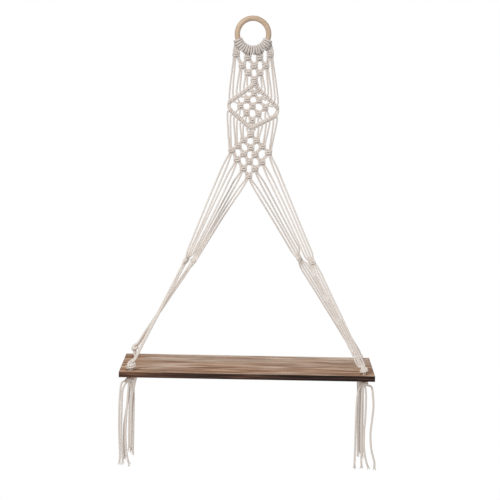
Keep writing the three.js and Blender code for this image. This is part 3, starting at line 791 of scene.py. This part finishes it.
def frayed_end(line, first_turn):
    """A cord whose three plies part near its cut end."""
    turned = with_turn(line[:-FRAYED_STEPS], first_turn)
    ahead = headings([point.xyz for point, _ in line])
    sides = carried_sides(ahead)
    lines = [turned]
    for ply in range(3):
        angle = chance.uniform(0, 0.6) + ply * math.tau / 3
        opening = chance.uniform(*PLY_OPENINGS) * MM
        length = chance.randint(FRAYED_STEPS - 2, FRAYED_STEPS) + 1
        points = []
        for n in range(length + 1):
            i = len(line) - FRAYED_STEPS - 2 + n
            share = n / length
            out = Matrix.Rotation(angle - PLY_TURN * share, 3, ahead[i]) @ sides[i]
            place = line[i][0].xyz + out * (PLY_OUT + opening * share**1.5)
            points.append((Vector((*place, PLY_GIRTH - PLY_THINNING * share)), ""))
        lines.append(with_turn(points, angle))
    return lines


def tassel_cord(place, number, drop, across, back, from_side):
    """A loose cord that begins inside its knot, so that its end doesn't show."""
    knot = Vector((*LEGS[place][3], UNDER_KNOT_Z))
    if from_side:
        out = math.copysign(1, across[0])
        bend = SIDE_EXIT + SIDE_BEND * math.sqrt(0.5)
        exits = (
            *((out * (SIDE_EXIT - inward), up - SIDE_DROP) for inward, up in SIDE_START),
            (out * SIDE_EXIT, -SIDE_DROP),
            (out * bend, -SIDE_BEND * (1 - math.sqrt(0.5)) - SIDE_DROP),
        )
    else:
        share, up = BOTTOM_START
        exits = ((across[0] * share * MM, -KNOT_BOTTOM + up), (across[0] * MM, -KNOT_BOTTOM))
    points = [knot + Vector((x, 0, z)) for x, z in exits]
    for share, x, y in zip(TASSEL_SHARES, across, back):
        lower = SIDE_DROP * (1 - share) if from_side else 0
        points.append(knot + Vector((x * MM, y * MM, -share * drop * MM - lower)))
    line = smooth_line([(Vector((*point, LOOSE)), "tassel") for point in points])
    name = "tassel_rope_" + place + "_" + str(number)
    rope = make_rope(name, frayed_end(line, chance.uniform(0, math.tau)))
    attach(rope, "tassel_" + place)
    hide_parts("tassel_cord_" + place + "_" + str(number))
    return rope


for place, cords in TASSELS.items():
    for number, cord in enumerate(cords, 1):
        ropes.append(tassel_cord(place, number, *cord))

bpy.data.objects.remove(section)


def wooden_ring():
    deselect()
    bpy.ops.mesh.primitive_circle_add(
        vertices=28, radius=RING_ROD_RADIUS, location=(RING_RADIUS, 0, RING_CENTRE_Z),
    )
    ring = bpy.context.object
    ring.name = "wooden_ring"
    settle(ring)
    bpy.ops.object.mode_set(mode="EDIT")
    bpy.ops.mesh.select_all(action="SELECT")
    bpy.ops.mesh.spin(steps=112, angle=math.tau, center=(0, 0, RING_CENTRE_Z), axis=(0, 1, 0))
    bpy.ops.mesh.select_all(action="SELECT")
    bpy.ops.mesh.remove_doubles(threshold=0.01 * MM)
    bpy.ops.mesh.normals_make_consistent(inside=False)
    bpy.ops.object.mode_set(mode="OBJECT")
    bpy.ops.object.shade_smooth()
    settle(ring)
    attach(ring, "ring")
    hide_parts("hanging_ring")
    return ring


def wooden_board():
    deselect()
    middle = Vector((0, 0, BOARD_TOP_Z - BOARD.z / 2))
    bpy.ops.mesh.primitive_cube_add(size=1, location=middle, scale=BOARD)
    board = bpy.context.object
    board.name = "wooden_board"
    settle(board)
    for x in (-HOLE_X, HOLE_X):
        for y in (-HOLE_Y, HOLE_Y):
            deselect()
            bpy.ops.mesh.primitive_cylinder_add(
                vertices=40, radius=HOLE_RADIUS, depth=3 * BOARD.z, location=(x, y, middle.z),
            )
            drill = bpy.context.object
            make_active(board)
            cut = board.modifiers.new("hole", "BOOLEAN")
            cut.object = drill
            cut.solver = "EXACT"
            bpy.ops.object.modifier_apply(modifier=cut.name)
            bpy.data.objects.remove(drill)
    make_active(board)
    edges = board.modifiers.new("edges", "BEVEL")
    edges.width = 0.8 * MM
    edges.segments = 3
    edges.limit_method = "ANGLE"
    bpy.ops.object.modifier_apply(modifier=edges.name)
    bpy.ops.object.shade_smooth_by_angle(angle=math.radians(40))
    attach(board, "shelf_hanger")
    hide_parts("shelf_board")
    return board


ring = wooden_ring()
board = wooden_board()


WHITE = (1.0, 1.0, 1.0, 1)


def finish_of(name, roughness):
    """A new material, with its nodes, its links and its shader."""
    material = bpy.data.materials.new(name)
    material.use_nodes = True
    nodes = material.node_tree.nodes
    shader = nodes["Principled BSDF"]
    shader.inputs["Roughness"].default_value = roughness
    return material, nodes, material.node_tree.links, shader


def linear(red, green, blue):
    """A colour of 0 to 255 a channel, as Blender's linear values."""
    def one(value):
        value /= 255
        return value / 12.92 if value <= 0.04045 else ((value + 0.055) / 1.055) ** 2.4

    return (one(red), one(green), one(blue), 1)


def object_noise(nodes, links, scale, detail, stretch=(1, 1, 1), waves=0.0):
    """Noise in an object's own space, drawn out along an axis where its stretch is small."""
    place = nodes.new("ShaderNodeTexCoord")
    mapping = nodes.new("ShaderNodeMapping")
    mapping.inputs["Scale"].default_value = stretch
    noise = nodes.new("ShaderNodeTexNoise")
    noise.inputs["Scale"].default_value = scale
    noise.inputs["Detail"].default_value = detail
    noise.inputs["Distortion"].default_value = waves
    links.new(place.outputs["Object"], mapping.inputs["Vector"])
    links.new(mapping.outputs["Vector"], noise.inputs["Vector"])
    return noise.outputs["Fac"]


def ramp(nodes, links, factor, stops):
    colours = nodes.new("ShaderNodeValToRGB")
    elements = colours.color_ramp.elements
    while len(elements) < len(stops):
        elements.new(0.5)
    for element, (position, colour) in zip(elements, stops):
        element.position = position
        element.color = colour
    links.new(factor, colours.inputs["Fac"])
    return colours.outputs["Color"]


def mix_colour(nodes, links, factor, first, second, blend="MIX"):
    mix = nodes.new("ShaderNodeMix")
    mix.data_type = "RGBA"
    mix.blend_type = blend
    for value, socket in ((factor, mix.inputs[0]), (first, mix.inputs[6]), (second, mix.inputs[7])):
        if isinstance(value, (tuple, float)):
            socket.default_value = value
        else:
            links.new(value, socket)
    return mix.outputs[2]


def object_axes(nodes, links):
    """The X, Y and Z of a point in its object."""
    place = nodes.new("ShaderNodeTexCoord")
    parts = nodes.new("ShaderNodeSeparateXYZ")
    links.new(place.outputs["Object"], parts.inputs["Vector"])
    return parts.outputs


def rise_between(nodes, links, value, low, high):
    """0 up to low, 1 from high on, and in proportion between them."""
    rise = nodes.new("ShaderNodeMapRange")
    rise.inputs["From Min"].default_value = low
    rise.inputs["From Max"].default_value = high
    links.new(value, rise.inputs["Value"])
    return rise.outputs["Result"]


def calculate(nodes, links, operation, *values, clamp=False):
    """What a maths node makes of one or two values."""
    step = nodes.new("ShaderNodeMath")
    step.operation = operation
    step.use_clamp = clamp
    for value, socket in zip(values, step.inputs):
        links.new(value, socket)
    return step.outputs[0]


def bump(nodes, links, shader, height, strength, distance):
    relief = nodes.new("ShaderNodeBump")
    relief.inputs["Strength"].default_value = strength
    relief.inputs["Distance"].default_value = distance
    links.new(height, relief.inputs["Height"])
    links.new(relief.outputs["Normal"], shader.inputs["Normal"])


# The heights between which the cotton's painted shade changes
PAINTED_SHADE_HEIGHTS = (-0.62, -0.03)


def cotton_finish():
    material, nodes, links, shader = finish_of("twisted cotton", 0.95)
    fibres = object_noise(nodes, links, scale=1900, detail=3)
    patches = object_noise(nodes, links, scale=90, detail=2)
    thread = ramp(nodes, links, fibres, (
        (0.3, linear(230, 220, 210)), (0.7, linear(250, 245, 240)),
    ))
    aged = mix_colour(nodes, links, patches, linear(238, 230, 222), linear(250, 246, 242))
    colour = mix_colour(nodes, links, 0.5, thread, aged)
    # Painted shade: the cotton is drawn darker in the creases between the plies
    crease = nodes.new("ShaderNodeAttribute")
    crease.attribute_name = "crease"
    shade = mix_colour(nodes, links, crease.outputs["Fac"], WHITE, linear(240, 232, 226))
    colour = mix_colour(nodes, links, 1.0, colour, shade, "MULTIPLY")
    # Painted shade: the cotton is drawn greyer in the tassels and the knotted panel, and most of
    # all at the ring
    height = rise_between(nodes, links, object_axes(nodes, links)["Z"], *PAINTED_SHADE_HEIGHTS)
    height_shade = ramp(nodes, links, height, (
        (0.03, (0.93, 0.92, 0.915, 1)), (0.07, WHITE), (0.576, WHITE),
        (0.64, (0.905, 0.89, 0.885, 1)), (0.915, (0.885, 0.87, 0.865, 1)),
        (0.966, (0.8, 0.8, 0.81, 1)),
    ))
    colour = mix_colour(nodes, links, 1.0, colour, height_shade, "MULTIPLY")
    links.new(colour, shader.inputs["Base Color"])
    shader.inputs["Sheen Weight"].default_value = 0.15
    shader.inputs["Sheen Roughness"].default_value = 0.6
    shader.inputs["Specular IOR Level"].default_value = 0.2
    bump(nodes, links, shader, fibres, strength=0.35, distance=0.2 * MM)
    return material


def beech_finish():
    material, nodes, links, shader = finish_of("turned beech", 0.45)
    grain = object_noise(nodes, links, scale=70, detail=4, stretch=(0.5, 3, 6))
    flecks = object_noise(nodes, links, scale=420, detail=2, stretch=(0.5, 3, 4))
    colour = ramp(nodes, links, grain, ((0.3, linear(186, 160, 136)), (0.7, linear(208, 184, 159))))
    fleck_tone = ramp(nodes, links, flecks, ((0.3, linear(232, 220, 205)), (0.5, WHITE)))
    colour = mix_colour(nodes, links, 0.6, colour, fleck_tone, "MULTIPLY")
    links.new(colour, shader.inputs["Base Color"])
    bump(nodes, links, shader, flecks, strength=0.05, distance=0.05 * MM)
    return material


# How far inside the board's sides their stain begins and is full
STAIN_EDGE = (0.9 * MM, 0.4 * MM)


def side_of(nodes, links, coordinate, half):
    """1 on the faces that close a board at both ends of an axis."""
    distance = calculate(nodes, links, "ABSOLUTE", coordinate)
    low, high = (half - inside for inside in STAIN_EDGE)
    return rise_between(nodes, links, distance, low, high)


def toasted_finish():
    material, nodes, links, shader = finish_of("toasted wood", 0.8)
    shader.inputs["Specular IOR Level"].default_value = 0.1
    broad = object_noise(nodes, links, scale=18, detail=3, stretch=(0.35, 1.8, 1.8))
    streaks = object_noise(nodes, links, scale=70, detail=6, stretch=(0.15, 3.8, 3.8), waves=0.6)
    pores = object_noise(nodes, links, scale=190, detail=4, stretch=(0.1, 4, 4))
    brown = ramp(nodes, links, streaks, (
        (0.38, linear(126, 90, 70)), (0.5, linear(180, 142, 115)), (0.62, linear(220, 190, 164)),
    ))
    pale = ramp(nodes, links, streaks, (
        (0.38, linear(144, 115, 97)), (0.5, linear(198, 170, 149)), (0.62, linear(234, 215, 198)),
    ))
    axes = object_axes(nodes, links)
    # The top is pale in patches, with a painted sheen along its rear edge, and brown at its left
    # end
    patch = rise_between(nodes, links, broad, 0.42, 0.6)
    rear = rise_between(nodes, links, axes["Y"], 0.02, 0.06)
    left = rise_between(nodes, links, axes["X"], -0.15, -0.19)
    pale_patches_and_sheen = calculate(nodes, links, "ADD", patch, rear, clamp=True)
    pale_patches_and_sheen = calculate(nodes, links, "SUBTRACT", pale_patches_and_sheen, left, clamp=True)
    colour = mix_colour(nodes, links, pale_patches_and_sheen, brown, pale)
    lines = ramp(nodes, links, pores, ((0.36, linear(160, 146, 134)), (0.52, WHITE)))
    colour = mix_colour(nodes, links, 0.75, colour, lines, "MULTIPLY")
    # The sawn sides are stained nearly black, and browner towards the left
    stain = ramp(nodes, links, streaks, (
        (0.4, linear(42, 33, 31)), (0.55, linear(66, 49, 43)), (0.7, linear(104, 74, 60)),
    ))
    worn = ramp(nodes, links, streaks, ((0.38, linear(66, 46, 38)), (0.6, linear(134, 98, 78))))
    stain = mix_colour(nodes, links, left, stain, worn)
    stain = mix_colour(nodes, links, 0.75, stain, lines, "MULTIPLY")
    ends = side_of(nodes, links, axes["X"], BOARD.x / 2)
    edges = side_of(nodes, links, axes["Y"], BOARD.y / 2)
    sawn = calculate(nodes, links, "MAXIMUM", ends, edges)
    colour = mix_colour(nodes, links, sawn, colour, stain)
    links.new(colour, shader.inputs["Base Color"])
    bump(nodes, links, shader, streaks, strength=0.35, distance=0.5 * MM)
    return material


cotton = cotton_finish()
for rope in ropes:
    rope.data.materials.append(cotton)
ring.data.materials.append(beech_finish())
board.data.materials.append(toasted_finish())


# The studio: the middle of the shelf, the floor and the lamps (place, size and watts)
AIM = Vector((0, 0, -0.4))
FLOOR_Z = -1.2
FLOOR_RADIUS = 1.1
AMBIENT = 0.34
LAMPS = {
    "key": ((-1.3, -1.9, 1.2), 1.2, 48),
    "fill": ((1.8, -1.6, 0.3), 1.8, 12),
    "back": ((0.4, 1.9, 1.2), 1.6, 12),
}


def seen_directly(nodes, links):
    """1 where the camera sees something itself, in a mirror or through glass."""
    path = nodes.new("ShaderNodeLightPath").outputs
    seen = calculate(nodes, links, "MAXIMUM", path["Is Camera Ray"], path["Is Glossy Ray"])
    return calculate(nodes, links, "MAXIMUM", seen, path["Is Transmission Ray"])


def studio():
    world = bpy.data.worlds.new("studio")
    bpy.context.scene.world = world
    world.use_nodes = True
    nodes, links = world.node_tree.nodes, world.node_tree.links
    ambient = nodes["Background"]
    ambient.inputs["Color"].default_value = WHITE
    ambient.inputs["Strength"].default_value = AMBIENT
    white = nodes.new("ShaderNodeBackground")
    white.inputs["Color"].default_value = WHITE
    white.inputs["Strength"].default_value = 1.0
    choice = nodes.new("ShaderNodeMixShader")
    links.new(seen_directly(nodes, links), choice.inputs[0])
    links.new(ambient.outputs[0], choice.inputs[1])
    links.new(white.outputs[0], choice.inputs[2])
    links.new(choice.outputs[0], nodes["World Output"].inputs["Surface"])

    deselect()
    bpy.ops.mesh.primitive_circle_add(
        vertices=96, radius=FLOOR_RADIUS, fill_type="NGON", location=(0, 0, FLOOR_Z),
    )
    floor = bpy.context.object
    floor.name = "studio_floor"
    material, _, _, shader = finish_of("studio floor", 0.9)
    shader.inputs["Base Color"].default_value = (0.86, 0.86, 0.86, 1)
    floor.data.materials.append(material)

    for name, (place, size, power) in LAMPS.items():
        bpy.ops.object.light_add(type="AREA", location=place)
        lamp = bpy.context.object
        lamp.name = name + "_light"
        lamp.data.size = size
        lamp.data.energy = power
        lamp.rotation_mode = "QUATERNION"
        lamp.rotation_quaternion = (AIM - Vector(place)).to_track_quat("-Z", "Y")


studio()
bpy.context.scene.view_settings.view_transform = "Standard"
